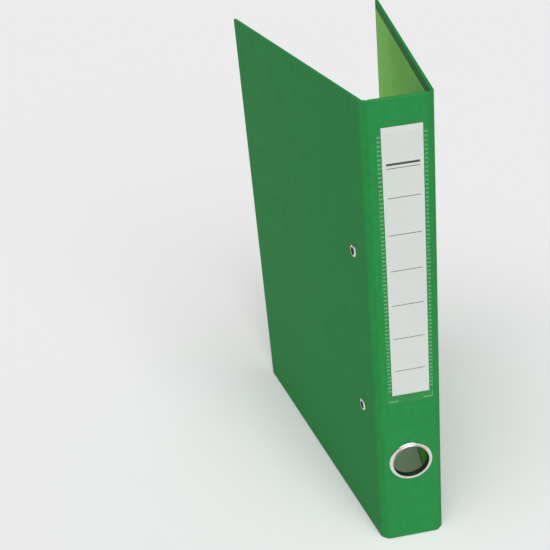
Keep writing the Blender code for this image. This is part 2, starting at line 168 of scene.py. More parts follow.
class RingFileColours(bpy.types.PropertyGroup):
    foil: colour("Foil", "The green covering", (0.021, 0.250, 0.058))
    lining: colour("Lining", "The paper inside", (0.33, 0.78, 0.16))
    card: colour("Card", "The spine label", (0.65, 0.67, 0.65))
    ink: colour("Ink", "The printed lines on the label", (0.035, 0.04, 0.04))
    nickel: colour("Nickel", "The plated steel", (0.80, 0.78, 0.75))
    floor: colour("Floor", "The studio floor", (0.86, 0.86, 0.86))


# --- Shader groups ----------------------------------------------------------------------------


def add_group(name, inputs, outputs):
    """An empty node group with the named sockets, its input node and its output node."""
    group = bpy.data.node_groups.new(name, "ShaderNodeTree")
    for socket_name, kind, default in inputs:
        socket = group.interface.new_socket(socket_name, in_out="INPUT", socket_type=kind)
        socket.default_value = default
    for socket_name, kind in outputs:
        group.interface.new_socket(socket_name, in_out="OUTPUT", socket_type=kind)
    start = group.nodes.new("NodeGroupInput")
    end = group.nodes.new("NodeGroupOutput")
    return group, start, end


def put(tree, kind, **settings):
    """A new node, with attributes by name and inputs through the values dictionary."""
    node = tree.nodes.new(kind)
    values = settings.pop("values", {})
    for attribute, value in settings.items():
        setattr(node, attribute, value)
    for socket, value in values.items():
        node.inputs[socket].default_value = value
    return node


def math_node(tree, operation, *sockets):
    node = put(tree, "ShaderNodeMath", operation=operation)
    for index, socket in enumerate(sockets):
        tree.links.new(socket, node.inputs[index])
    return node.outputs[0]


def object_noise(tree, scale, detail=4.0, stretch=(1, 1, 1)):
    """Noise over the object's own metres. scale is a number or a socket."""
    place = put(tree, "ShaderNodeTexCoord")
    mapping = put(tree, "ShaderNodeMapping", values={"Scale": stretch})
    noise = put(tree, "ShaderNodeTexNoise", values={"Detail": detail})
    tree.links.new(place.outputs["Object"], mapping.inputs["Vector"])
    tree.links.new(mapping.outputs["Vector"], noise.inputs["Vector"])
    if isinstance(scale, (int, float)):
        noise.inputs["Scale"].default_value = scale
    else:
        tree.links.new(scale, noise.inputs["Scale"])
    return noise.outputs["Fac"]


def make_pressed_grain():
    """The fine pebbled grain of coated paper: a height and a speckle mask."""
    group, start, end = add_group(
        "pressed_grain",
        [("Scale", "NodeSocketFloat", 1500.0), ("Speckle", "NodeSocketFloat", 0.5)],
        [("Height", "NodeSocketFloat"), ("Mask", "NodeSocketFloat")],
    )
    place = put(group, "ShaderNodeTexCoord")
    pebbles = put(group, "ShaderNodeTexVoronoi", feature="SMOOTH_F1")
    group.links.new(place.outputs["Object"], pebbles.inputs["Vector"])
    group.links.new(start.outputs["Scale"], pebbles.inputs["Scale"])
    fine = object_noise(group, start.outputs["Scale"], 3.0)
    height = math_node(group, "ADD", pebbles.outputs["Distance"], fine)
    patches = object_noise(group, 190.0, 5.0)
    spread = put(group, "ShaderNodeMapRange", values={"From Min": 0.42, "From Max": 0.62})
    group.links.new(patches, spread.inputs["Value"])
    mask = math_node(group, "MULTIPLY", spread.outputs["Result"], start.outputs["Speckle"])
    group.links.new(height, end.inputs["Height"])
    group.links.new(mask, end.inputs["Mask"])
    return group


def make_tone_drift():
    """Two close tones of one colour that drift into each other over the surface."""
    group, start, end = add_group(
        "tone_drift",
        [
            ("Tone", "NodeSocketColor", (0.5, 0.5, 0.5, 1)),
            ("Other Tone", "NodeSocketColor", (0.6, 0.6, 0.6, 1)),
            ("Scale", "NodeSocketFloat", 20.0),
        ],
        [("Colour", "NodeSocketColor")],
    )
    drift = object_noise(group, start.outputs["Scale"], 3.0)
    mix = put(group, "ShaderNodeMix", data_type="RGBA")
    group.links.new(drift, mix.inputs["Factor"])
    group.links.new(start.outputs["Tone"], mix.inputs["A"])
    group.links.new(start.outputs["Other Tone"], mix.inputs["B"])
    group.links.new(mix.outputs["Result"], end.inputs["Colour"])
    return group


def make_handling():
    """Roughness that wanders between two values, as on a surface that hands have polished, and a
    height of fine hairlines."""
    group, start, end = add_group(
        "handling",
        [
            ("Smooth", "NodeSocketFloat", 0.3),
            ("Dull", "NodeSocketFloat", 0.5),
            ("Scale", "NodeSocketFloat", 30.0),
        ],
        [("Roughness", "NodeSocketFloat"), ("Height", "NodeSocketFloat")],
    )
    cloud = object_noise(group, start.outputs["Scale"], 5.0)
    hairs = object_noise(group, 420.0, 2.0, (1, 1, 14))
    spread = put(group, "ShaderNodeMapRange", values={"From Min": 0.3, "From Max": 0.7})
    group.links.new(cloud, spread.inputs["Value"])
    group.links.new(start.outputs["Smooth"], spread.inputs["To Min"])
    group.links.new(start.outputs["Dull"], spread.inputs["To Max"])
    group.links.new(spread.outputs["Result"], end.inputs["Roughness"])
    group.links.new(hairs, end.inputs["Height"])
    return group


# --- Materials --------------------------------------------------------------------------------


def group_node(tree, name, **values):
    node = put(tree, "ShaderNodeGroup", node_tree=bpy.data.node_groups[name])
    for socket, value in values.items():
        node.inputs[socket.replace("_", " ")].default_value = value
    return node


def add_material(name, **values):
    """A material with its Principled BSDF's sockets set by name."""
    material = bpy.data.materials.new(name)
    material.use_nodes = True
    shader = material.node_tree.nodes["Principled BSDF"]
    for socket, value in values.items():
        shader.inputs[socket.replace("_", " ")].default_value = value
    return material, material.node_tree, shader


def bump(tree, shader, height, strength, distance):
    node = put(tree, "ShaderNodeBump", values={"Strength": strength, "Distance": distance})
    tree.links.new(height, node.inputs["Height"])
    tree.links.new(node.outputs["Normal"], shader.inputs["Normal"])


def toned(colour_value, factor):
    return (*[channel * factor for channel in colour_value], 1)


def drifting(tree, shader, colour_value, low, high, scale):
    drift = group_node(
        tree, "tone_drift", Tone=toned(colour_value, low), Other_Tone=toned(colour_value, high), Scale=scale
    )
    tree.links.new(drift.outputs["Colour"], shader.inputs["Base Color"])
    return drift.outputs["Colour"]


def make_foil(colours):
    """Green foil with fine grain, darker specks and a hand-smoothed sheen."""
    _, tree, shader = add_material(
        "green_foil", Specular_IOR_Level=0.0, Coat_Weight=0.2, Coat_Roughness=0.4
    )
    base = drifting(tree, shader, colours.foil, 0.95, 1.05, 45.0)
    grain = group_node(tree, "pressed_grain", Scale=1500.0, Speckle=0.35)
    darker = put(tree, "ShaderNodeMix", data_type="RGBA", blend_type="MULTIPLY")
    darker.inputs["B"].default_value = (0.72, 0.8, 0.78, 1)
    tree.links.new(grain.outputs["Mask"], darker.inputs["Factor"])
    tree.links.new(base, darker.inputs["A"])
    tree.links.new(darker.outputs["Result"], shader.inputs["Base Color"])
    handling = group_node(tree, "handling", Smooth=0.48, Dull=0.56, Scale=26.0)
    tree.links.new(handling.outputs["Roughness"], shader.inputs["Roughness"])
    bump(tree, shader, grain.outputs["Height"], 0.45, 0.00005)


def make_lining(colours):
    _, tree, shader = add_material("lining_paper", Specular_IOR_Level=0.05)
    drifting(tree, shader, colours.lining, 0.94, 1.06, 30.0)
    handling = group_node(tree, "handling", Smooth=0.55, Dull=0.7, Scale=20.0)
    tree.links.new(handling.outputs["Roughness"], shader.inputs["Roughness"])
    grain = group_node(tree, "pressed_grain", Scale=2600.0, Speckle=0.0)
    bump(tree, shader, grain.outputs["Height"], 0.2, 0.00003)


def make_greyboard():
    _, tree, shader = add_material("grey_board", Roughness=0.92)
    drifting(tree, shader, (0.32, 0.29, 0.25), 0.85, 1.15, 900.0)
    grain = group_node(tree, "pressed_grain", Scale=900.0, Speckle=0.0)
    bump(tree, shader, grain.outputs["Height"], 0.5, 0.0001)


def make_metal(name, base, smooth, dull, hair_strength):
    _, tree, shader = add_material(name, Metallic=1.0)
    drifting(tree, shader, base, 0.97, 1.03, 60.0)
    handling = group_node(tree, "handling", Smooth=smooth, Dull=dull, Scale=90.0)
    tree.links.new(handling.outputs["Roughness"], shader.inputs["Roughness"])
    bump(tree, shader, handling.outputs["Height"], hair_strength, 0.00003)


def make_card(colours):
    _, tree, shader = add_material("label_card", Specular_IOR_Level=0.2)
    drifting(tree, shader, colours.card, 0.985, 1.015, 35.0)
    handling = group_node(tree, "handling", Smooth=0.5, Dull=0.6, Scale=30.0)
    tree.links.new(handling.outputs["Roughness"], shader.inputs["Roughness"])
    grain = group_node(tree, "pressed_grain", Scale=3200.0, Speckle=0.0)
    bump(tree, shader, grain.outputs["Height"], 0.1, 0.00002)


def make_ink(colours):
    _, tree, shader = add_material("printed_ink", Roughness=0.55)
    drifting(tree, shader, colours.ink, 0.8, 1.2, 400.0)


def make_film(name, base, alpha, smooth, dull):
    material, tree, shader = add_material(name, Alpha=alpha, Specular_IOR_Level=0.3)
    drifting(tree, shader, base, 0.96, 1.04, 50.0)
    handling = group_node(tree, "handling", Smooth=smooth, Dull=dull, Scale=45.0)
    tree.links.new(handling.outputs["Roughness"], shader.inputs["Roughness"])
    grain = group_node(tree, "pressed_grain", Scale=120.0, Speckle=0.0)
    bump(tree, shader, grain.outputs["Height"], 0.15, 0.0001)
    material.surface_render_method = "BLENDED"


def make_materials(colours):
    make_pressed_grain()
    make_tone_drift()
    make_handling()
    make_foil(colours)
    make_lining(colours)
    make_greyboard()
    make_metal("bright_nickel", colours.nickel, 0.15, 0.27, 0.06)
    make_metal("spring_steel", (0.55, 0.55, 0.56), 0.28, 0.42, 0.3)
    # Painted shade: a near-black, rough metal that makes the hollow bores of the rivets and the finger ring read
    # dark.
    make_metal("dull_bore", (0.10, 0.10, 0.10), 0.45, 0.6, 0.2)
    make_card(colours)
    make_ink(colours)
    make_film("clear_film", (0.4, 0.6, 0.45), 0.04, 0.14, 0.26)
    make_film("welded_film", (0.11, 0.45, 0.16), 0.9, 0.3, 0.45)


def paint(node, material):
    """Gives a node of the frame another material, in its slots."""
    obj = frame["nodes"][node]
    if not obj.material_slots:
        obj.data.materials.append(None)
    for material_slot in obj.material_slots:
        material_slot.material = bpy.data.materials[material]


# --- Mesh helpers -----------------------------------------------------------------------------


def surface(name, rows, loop=True, ring=False, caps=False):
    """A mesh through rows of points. loop joins the ends of each row, ring joins the last row to
    the first, and caps closes the first and last rows."""
    bm = bmesh.new()
    grid = [[bm.verts.new(point) for point in row] for row in rows]
    pairs = list(zip(grid, grid[1:]))
    if ring:
        pairs.append((grid[-1], grid[0]))
    for first, second in pairs:
        count = len(first)
        for i in range(count if loop else count - 1):
            j = (i + 1) % count
            bm.faces.new((first[i], first[j], second[j], second[i]))
    if caps:
        bm.faces.new(grid[0])
        bm.faces.new(grid[-1])
    bmesh.ops.recalc_face_normals(bm, faces=bm.faces)
    return from_bmesh(name, bm)


def from_bmesh(name, bm):
    mesh = bpy.data.meshes.new(name)
    bm.to_mesh(mesh)
    bm.free()
    obj = bpy.data.objects.new(name, mesh)
    bpy.context.scene.collection.objects.link(obj)
    return obj


def finish_piece(obj, material, body=None, sharp=38):
    """Smooth shading, a material, and the body that it rides on, when one is given."""
    obj.data.shade_smooth()
    obj.data.set_sharp_from_angle(angle=math.radians(sharp))
    obj.data.materials.clear()
    obj.data.materials.append(bpy.data.materials[material])
    if body:
        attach(obj, body)
    return obj


def block(name, low, high):
    low, high = Vector(low), Vector(high)
    bm = bmesh.new()
    bmesh.ops.create_cube(bm, size=1.0)
    bmesh.ops.scale(bm, vec=high - low, verts=bm.verts)
    bmesh.ops.translate(bm, vec=(low + high) / 2, verts=bm.verts)
    return from_bmesh(name, bm)


def rod(name, radius, low, high, matrix, segments=64):
    """A cylinder along Z from low to high, moved by a matrix."""
    bm = bmesh.new()
    bmesh.ops.create_cone(
        bm, cap_ends=True, segments=segments, radius1=radius, radius2=radius, depth=high - low
    )
    bmesh.ops.translate(bm, vec=(0, 0, (low + high) / 2), verts=bm.verts)
    bmesh.ops.transform(bm, matrix=matrix, verts=bm.verts)
    return from_bmesh(name, bm)


def combined(obj, others, operation="DIFFERENCE"):
    """The object with the others cut away or joined on, as a plain mesh."""
    for other in others:
        modifier = obj.modifiers.new("Shape", "BOOLEAN")
        modifier.operation = operation
        modifier.object = other
    graph = bpy.context.evaluated_depsgraph_get()
    mesh = bpy.data.meshes.new_from_object(obj.evaluated_get(graph))
    obj.modifiers.clear()
    obj.data = mesh
    for other in others:
        bpy.data.objects.remove(other)
    return obj


def turned(name, profile, matrix, steps=96):
    """A closed profile of (radius, height) turned about Z and moved by a matrix."""
    rows = []
    for step in range(steps):
        angle = math.tau * step / steps
        across = Vector((math.cos(angle), math.sin(angle), 0))
        rows.append([matrix @ (across * radius + UP * height) for radius, height in profile])
    return surface(name, rows, ring=True)


def paint_bore_shade(obj, matrix, radius):
    """Painted shade in the hollow: dark, rough metal on the faces nearer than this radius to the axis it was
    turned on.
    """
    obj.data.materials.append(bpy.data.materials["dull_bore"])
    back = matrix.inverted()
    for face in obj.data.polygons:
        if (back @ face.center).xy.length < radius:
            face.material_index = 1


def rounded(profile, radius, steps=4):
    """The closed profile with each corner replaced by a short curve."""
    points = [Vector(point) for point in profile]
    result = []
    for index, corner in enumerate(points):
        before, after = points[index - 1], points[(index + 1) % len(points)]
        reach = min(radius, (before - corner).length * 0.45, (after - corner).length * 0.45)
        start = corner + (before - corner).normalized() * reach
        end = corner + (after - corner).normalized() * reach
        for step in range(steps + 1):
            t = step / steps
            result.append(start * (1 - t) ** 2 + corner * 2 * t * (1 - t) + end * t**2)
    return result


def smooth_step(low, high, value):
    t = min(1.0, max(0.0, (value - low) / (high - low)))
    return t * t * (3 - 2 * t)


# --- Case -------------------------------------------------------------------------------------


def section(outer, inner, low, high, radius, inset=0.0):
    """A rounded rectangle standing at one station of the case, from the outer to the inner face
    and from low to high, with holding points beside each corner."""
    depth = (inner - outer).length
    across = (inner - outer) / depth
    corner = min(radius, depth * 0.45)
    bend = max(corner - inset, LEAST_BEND)
    left, right = inset, depth - inset
    bottom, top = low + inset, high - inset
    centres = (
        (right - bend, bottom + bend, -90),
        (right - bend, top - bend, 0),
        (left + bend, top - bend, 90),
        (left + bend, bottom + bend, 180),
    )
    side_hold = min(FACE_HOLD, max(right - left - 2 * bend, LEAST_BEND / 2) / 3)
    points = []
    for u, z, start in centres:
        angles = [math.radians(start + 90 * step / 4) for step in range(5)]
        arc = [(u + bend * math.cos(angle), z + bend * math.sin(angle)) for angle in angles]
        enter = Vector((-math.sin(angles[0]), math.cos(angles[0])))
        leave = Vector((-math.sin(angles[-1]), math.cos(angles[-1])))
        holds = (side_hold, EDGE_HOLD) if start in (-90, 90) else (EDGE_HOLD, side_hold)
        points.append((arc[0][0] - enter.x * holds[0], arc[0][1] - enter.y * holds[0]))
        points.extend(arc)
        points.append((arc[-1][0] + leave.x * holds[1], arc[-1][1] + leave.y * holds[1]))
    return [outer + across * u + UP * z for u, z in points]


def panel_stations(origin, along, inward, start, end, radius, round_end):
    """Stations along a flat panel, with its far edge rounded if asked."""
    marks = [(start, 0.0), (start + EDGE_HOLD, 0.0)]
    if round_end:
        marks.append((end - radius - EDGE_HOLD, 0.0))
        for step in range(5):
            angle = math.radians(84) * step / 4
            marks.append((end - radius + radius * math.sin(angle), radius * (1 - math.cos(angle))))
    else:
        marks += [(end - EDGE_HOLD, 0.0), (end, 0.0)]
    return [
        (origin + along * s, origin + along * s + inward * PANEL_THICKNESS, inset) for s, inset in marks
    ]


def bend_stations(crease, along_panel, panel_inward, along_strip, strip_inward, sizes, raised=0.0):
    """Stations over one crease, from the panel to the strip. raised lifts both faces inwards, for
    the lining that follows the bend inside."""
    reach = sizes.fold_reach
    strip = sizes.strip_thickness
    thick = PANEL_THICKNESS
    panel_marks = ((reach, thick), (0.75 * reach, thick), (0.5 * reach, thick - 0.0001), (0.00038, 0.0021))
    strip_marks = ((0.0005, strip + 0.0001), (0.0008, strip), (reach, strip))
    inner = [crease + along_panel * s + panel_inward * (d + raised) for s, d in panel_marks]
    inner += [crease + along_strip * s + strip_inward * (d + raised) for s, d in strip_marks]
    first, last = crease + along_panel * reach, crease + along_strip * reach
    outer = []
    for step in range(len(inner)):
        t = step / (len(inner) - 1)
        outer.append(first * (1 - t) ** 2 + crease * 2 * t * (1 - t) + last * t**2)
    return [(a, b, 0.0) for a, b in zip(outer, inner)]


def stand(name, stations, low, high, radius):
    rows = [section(outer, inner, low, high, radius, inset) for outer, inner, inset in stations]
    return surface(name, rows, caps=True)


def bends(hinge):
    """(word, crease, panel directions, strip directions, bodies, blend points) for both creases."""
    inner, outer = hinge.inner_crease, hinge.outer_crease
    fold = f"{hinge.word}_fold"
    on_panel, on_strip = 0.0009, 0.0004
    return (
        (
            "inner_bend",
            inner,
            (hinge.across_spine, hinge.spine_inward),
            (hinge.along_strip, hinge.strip_inward),
            ("spine", fold),
            (inner + hinge.across_spine * on_panel, inner - hinge.across_spine * on_strip),
        ),
        (
            "outer_bend",
            outer,
            (hinge.along_cover, hinge.cover_inward),
            (-hinge.along_strip, hinge.strip_inward),
            (fold, f"{hinge.word}_cover"),
            (outer - hinge.along_cover * on_strip, outer + hinge.along_cover * on_panel),
        ),
    )


def add_cover_case(hinge, sizes):
    cover = stand(
        f"{hinge.word}_cover_case",
        panel_stations(
            hinge.outer_crease,
            hinge.along_cover,
            hinge.cover_inward,
            sizes.fold_reach,
            COVER_WIDTH,
            sizes.edge_radius,
            True,
        ),
        0.0,
        HEIGHT,
        sizes.edge_radius,
    )
    if hinge is REAR:
        rods = [
            rod("rivet_hole", RIVET_HOLE_RADIUS, -0.006, 0.003, MECHANISM @ Matrix.Translation((0, y, 0)))
            for y in (-RIVET_PITCH / 2, RIVET_PITCH / 2)
        ]
        combined(cover, rods)
    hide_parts(f"{hinge.word}_cover_wrap")
    finish_piece(cover, "green_foil", f"{hinge.word}_cover")


def add_spine_case(sizes):
    width = FRONT.inner_crease.x - REAR.inner_crease.x
    spine = stand(
        "spine_case",
        panel_stations(
            REAR.inner_crease,
            Vector((1, 0, 0)),
            Vector((0, 1, 0)),
            sizes.fold_reach,
            width - sizes.fold_reach,
            sizes.edge_radius,
            False,
        ),
        0.0,
        HEIGHT,
        sizes.edge_radius,
    )
    combined(spine, [rod("hole", FINGER_HOLE_RADIUS, -0.006, 0.004, FINGER_HOLE, 96)])
    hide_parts("spine_wrap")
    finish_piece(spine, "green_foil", "spine")


def add_strip(hinge, sizes):
    """The fold strip and the bends on both sides of it."""
    reach = sizes.fold_reach
    width = (hinge.outer_crease - hinge.inner_crease).length
    marks = (reach, width - reach)
    outer = [hinge.inner_crease + hinge.along_strip * s for s in marks]
    stations = [(point, point + hinge.strip_inward * sizes.strip_thickness, 0.0) for point in outer]
    strip = stand(f"{hinge.word}_strip_case", stations, 0.0, HEIGHT, sizes.edge_radius)
    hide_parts(f"{hinge.word}_fold_strip")
    finish_piece(strip, "green_foil", f"{hinge.word}_fold")
    for word, crease, panel, strip_way, bodies, points in bends(hinge):
        stations = bend_stations(crease, *panel, *strip_way, sizes)
        bend = stand(f"{hinge.word}_{word}", stations, 0.0, HEIGHT, sizes.edge_radius)
        finish_piece(bend, "green_foil", sharp=60)
        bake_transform(bend)


def add_hinge_lining(hinge, sizes):
    """Lining paper over the strip and both bends, joining the papers of the spine and the cover."""
    low, high = sizes.lining_margin, HEIGHT - sizes.lining_margin
    paper, clear = 0.00014, 0.00004
    face = LINING_FACE - PANEL_THICKNESS + clear
    reach = sizes.fold_reach
    width = (hinge.outer_crease - hinge.inner_crease).length
    marks = (reach, width - reach)
    base = sizes.strip_thickness + face
    under = [hinge.inner_crease + hinge.along_strip * s + hinge.strip_inward * base for s in marks]
    stations = [(point, point + hinge.strip_inward * paper, 0.0) for point in under]
    strip = stand(f"{hinge.word}_strip_lining", stations, low, high, paper)
    finish_piece(strip, "lining_paper", f"{hinge.word}_fold")
    for word, crease, panel, strip_way, bodies, points in bends(hinge):
        under = bend_stations(crease, *panel, *strip_way, sizes, face)
        over = bend_stations(crease, *panel, *strip_way, sizes, face + paper)
        stations = [(a[1], b[1], 0.0) for a, b in zip(under, over)]
        bend = stand(f"{hinge.word}_{word}_lining", stations, low, high, paper)
        finish_piece(bend, "lining_paper", sharp=60)
        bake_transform(bend)


def add_corner_folds(hinge, sizes):
    """The mitred fold of the foil at each outer corner, inside the cover."""
    margin = sizes.lining_margin + 0.001
    steps, first_reach, sunk, thickness = 8, 0.0008, 0.00004, 0.00012
    profile = ((-1, 0), (-0.8, 0.8), (0, 1), (0.9, 0.9), (1, 0))
    for word, edge, way in (("lower", 0.0, 1), ("upper", HEIGHT, -1)):
        rows = []
        for step in range(steps + 1):
            t = step / steps
            reach = first_reach + margin * t
            centre = (
                hinge.outer_crease
                + hinge.along_cover * (COVER_WIDTH - reach)
                + UP * (edge + way * reach)
            )
            slant = (hinge.along_cover + UP * way).normalized()
            half = 0.0004 + 0.0008 * t
            level = hinge.cover_inward * (PANEL_THICKNESS - sunk)
            rise = hinge.cover_inward * thickness
            rows.append([centre + level + slant * half * u + rise * h for u, h in profile])
        fold = surface(f"{hinge.word}_{word}_corner_fold", rows, caps=True)
        finish_piece(fold, "green_foil", f"{hinge.word}_cover")


# --- Finger ring ------------------------------------------------------------------------------


def add_finger_ring():
    bore, sleeve, shade_within = 0.01225, 0.01285, 0.0126
    back = -(LINING_FACE + 0.0006)
    eyelet = rounded(
        [
            (0.0132, 0.00075),
            (0.0138, 0.00080),
            (0.0146, 0.00070),
            (0.0150, 0.00005),
            (sleeve, 0.00005),
            (sleeve, back),
            (0.0141, back),
            (0.0140, back - 0.0004),
            (0.0129, back - 0.0005),
            (bore, back + 0.0002),
            (bore, 0.0002),
            (0.01245, 0.00115),
            (0.0129, 0.00115),
        ],
        0.0004,
    )
    ring = turned("finger_ring", eyelet, FINGER_HOLE, 128)
    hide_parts("finger_ring_eyelet")
    finish_piece(ring, "bright_nickel", "spine", 60)
    # Painted shade: the faces of the ring's bore get the near-black bore metal.
    paint_bore_shade(ring, FINGER_HOLE, shade_within)
    top = -(LINING_FACE + 0.0001)
    bottom = top - 0.0004
    rim, inside = 0.0153, 0.01315
    washer = rounded([(rim, top), (rim, bottom), (inside, bottom), (inside, top)], 0.00015)
    ring = turned("finger_washer", washer, FINGER_HOLE, 128)
    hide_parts("finger_ring_washer")
    finish_piece(ring, "bright_nickel", "spine", 60)


# --- Label and pocket -------------------------------------------------------------------------


def add_label(sizes):
    paint("label_card", "label_card")
    low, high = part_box("label_card")
    face = low.y - 0.00002
    edge = face + 0.00001
    centre = (low.x + high.x) / 2
    half_width, first_rule, rule_pitch = 0.0100, 0.0434, 0.0240
    marks = [
        (f"label_rule_{index + 1}", high.z - first_rule - index * rule_pitch, sizes.rule_width)
        for index in range(6)
    ]
    marks.append(("label_head_rule", high.z - 0.0225, 0.0014))
    marks.append(("label_head_line", high.z - 0.0250, 0.0004))
    for name, z, width in marks:
        rows = []
        for share in (-1, -0.98, 0.98, 1):
            x = centre + half_width * share
            rows.append([(x, edge, z - width / 2), (x, face, z), (x, edge, z + width / 2)])
        rule = surface(name, rows, loop=False)
        finish_piece(rule, "printed_ink", "label")


def add_pocket(sizes):
    """Clear film over the card, pressed down to the spine on both sides and below."""
    low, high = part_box("label_pocket")
    card_low, card_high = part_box("label_card")
    flat, proud = SPINE_FACE - 0.00006, low.y + 0.0001
    rim, near, side_slope, foot_slope = 0.0002, 0.0004, 0.0014, 0.0018
    left, right, foot_line = card_low.x - 0.0012, card_high.x + 0.0012, card_low.z - 0.0014
    first, last, first_level = card_low.x + 0.0006, card_high.x - 0.0006, card_low.z + 0.0008
    across = [low.x, low.x + rim, left, card_low.x - near]
    across += [first + (last - first) * step / 8 for step in range(9)]
    across += [card_high.x + near, right, high.x - rim, high.x]
    levels = [low.z, low.z + rim, foot_line, card_low.z - near, first_level]
    levels += [first_level + (high.z - first_level) * step / 12 for step in range(1, 13)]
    rows = []
    for z in levels:
        row = []
        for x in across:
            side = min(x - left, right - x) / side_slope
            rise = smooth_step(0.0, 1.0, min(side, (z - foot_line) / foot_slope))
            row.append((x, flat + (proud - flat) * rise, z))
        rows.append(row)
    film = surface("pocket_film", rows, loop=False)
    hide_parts("label_pocket")
    finish_piece(film, "clear_film", "spine", 80)
    add_welds(low, high, card_low, card_high, sizes)


def ridge(bm, x0, x1, z0, z1, height=0.00022):
    """A low pressed ridge with sloped sides, standing off the spine."""
    inset = min(0.0002, (x1 - x0) * 0.3, (z1 - z0) * 0.3)
    foot, top = SPINE_FACE - 0.00004, SPINE_FACE - 0.00006 - height
    lower = [(x0, foot, z0), (x1, foot, z0), (x1, foot, z1), (x0, foot, z1)]
    upper = [
        (x0 + inset, top, z0 + inset),
        (x1 - inset, top, z0 + inset),
        (x1 - inset, top, z1 - inset),
        (x0 + inset, top, z1 - inset),
    ]
    lower = [bm.verts.new(point) for point in lower]
    upper = [bm.verts.new(point) for point in upper]
    bm.faces.new(upper)
    for i in range(4):
        j = (i + 1) % 4
        bm.faces.new((lower[i], lower[j], upper[j], upper[i]))


def add_welds(low, high, card_low, card_high, sizes):
    """Rows of teeth pressed into the film beside the card, and short bars at its foot."""
    bm = bmesh.new()
    count = int((high.z - 0.002 - card_low.z) / sizes.weld_pitch)
    left, right = low.x + 0.0003, high.x - 0.0003
    tooth, bar = 0.0010, 0.0009
    for index in range(count):
        z = high.z - 0.0015 - index * sizes.weld_pitch
        ridge(bm, left, left + 0.0023, z - tooth, z)
        ridge(bm, right - 0.0019, right, z - tooth, z)
    foot = low.z + 0.0012
    ridge(bm, left, left + 0.0066, foot, foot + bar)
    ridge(bm, right - 0.0062, right, foot, foot + bar)
    ridge(bm, right - 0.0007, right, foot, card_low.z - 0.0008)
    bmesh.ops.recalc_face_normals(bm, faces=bm.faces)
    welds = from_bmesh("pocket_welds", bm)
    finish_piece(welds, "welded_film", "spine", 30)


# --- Ring mechanism ---------------------------------------------------------------------------

SHIELD_LENGTH = 0.125
SHIELD_HALF_WIDTH = 0.010
SHEET = 0.0007
SHIELD_BASE = 0.00015
TAPER_START = 0.046
DOME_PLACE = 0.0475
TONGUE_START = 0.0120
RING_CENTRE = 0.0163
RING_RADIUS = 0.0137
BLADE_DROOP = math.radians(8)


def shield_half_width(y):
    """Full along the middle, then drawn in towards the rivet ends."""
    taper = max(0.0, abs(y) - TAPER_START) / (SHIELD_LENGTH / 2 - TAPER_START)
    return SHIELD_HALF_WIDTH - 0.0046 * taper**1.5


def shield_height(x, y, inset):
    """The shield's outer face, or with inset its inner face, in the mechanism's own frame."""
    along = abs(y)
    flat = smooth_step(0.0470, 0.0535, along)
    power = 2.6 + 5 * flat
    rise = 0.0055 - 0.0047 * flat - inset
    across = min(1.0, abs(x) / (shield_half_width(y) - inset))
    height = rise * (1 - across**power) ** (1 / power)
    tongue_half = 0.0045 + 0.12 * (along - TONGUE_START)
    nose = TONGUE_START + 0.6 * x * x / 0.0045
    tongue = smooth_step(nose - 0.0006, nose + 0.0006, along)
    tongue *= 1 - smooth_step(tongue_half - 0.0007, tongue_half + 0.0007, abs(x))
    height += 0.0006 * tongue * (1 - flat)
    from_dome = math.hypot(x, along - DOME_PLACE)
    reach = from_dome / (0.0066 - inset)
    dome = (0.0068 - inset) * max(0.0, 1 - reach**2.6) ** (1 / 2.2)
    dimple = 0.0009 * max(0.0, 1 - (from_dome / 0.0022) ** 2) ** 2
    return SHIELD_BASE + max(height, dome - dimple)


def shield_solid(name, inset, floor, least, half_length, columns, rows):
    bm = bmesh.new()
    bmesh.ops.create_grid(bm, x_segments=columns, y_segments=rows, size=1.0)
    made = bmesh.ops.extrude_face_region(bm, geom=list(bm.faces))
    bottom = {item for item in made["geom"] if isinstance(item, bmesh.types.BMVert)}
    for vert in bm.verts:
        y = vert.co.y * half_length
        x = (shield_half_width(y) - inset) * math.sin(vert.co.x * math.pi / 2)
        height = floor if vert in bottom else max(shield_height(x, y, inset), floor + least)
        vert.co = (x, y, height)
    bmesh.ops.recalc_face_normals(bm, faces=bm.faces)
    bmesh.ops.triangulate(bm, faces=bm.faces)
    return from_bmesh(name, bm)


def add_shield():
    shield = shield_solid("ring_shield", 0, SHIELD_BASE, 0.0008, SHIELD_LENGTH / 2, 56, 300)
    hollow = shield_solid("hollow", SHEET, SHIELD_BASE + 0.0006, 0.0002, 0.0500, 24, 90)
    cutters = [hollow, block("mouth", (-0.0080, -0.0470, -0.002), (0.0080, 0.0470, SHIELD_BASE + 0.0012))]
    for end in (-1, 1):
        ring = end * RING_PITCH / 2
        for side in (-1, 1):
            xs = sorted((side * 0.0044, side * 0.0112))
            cutters.append(block("slot", (xs[0], ring - 0.0019, 0.0024), (xs[1], ring + 0.0019, 0.012)))
        squeeze = Matrix.Translation((0, ring, 0)) @ Matrix.Diagonal((1, 0.5, 1, 1))
        cutters.append(rod("eye", 0.0026, 0.002, 0.012, squeeze))
        place = Matrix.Translation((0, end * RIVET_PITCH / 2, 0))
        cutters.append(rod("hole", RIVET_HOLE_RADIUS, -0.002, 0.010, place))
    combined(shield, cutters)
    shield.data.transform(MECHANISM)
    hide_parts("mechanism_shield")
    finish_piece(shield, "bright_nickel", "rear_cover", 42)


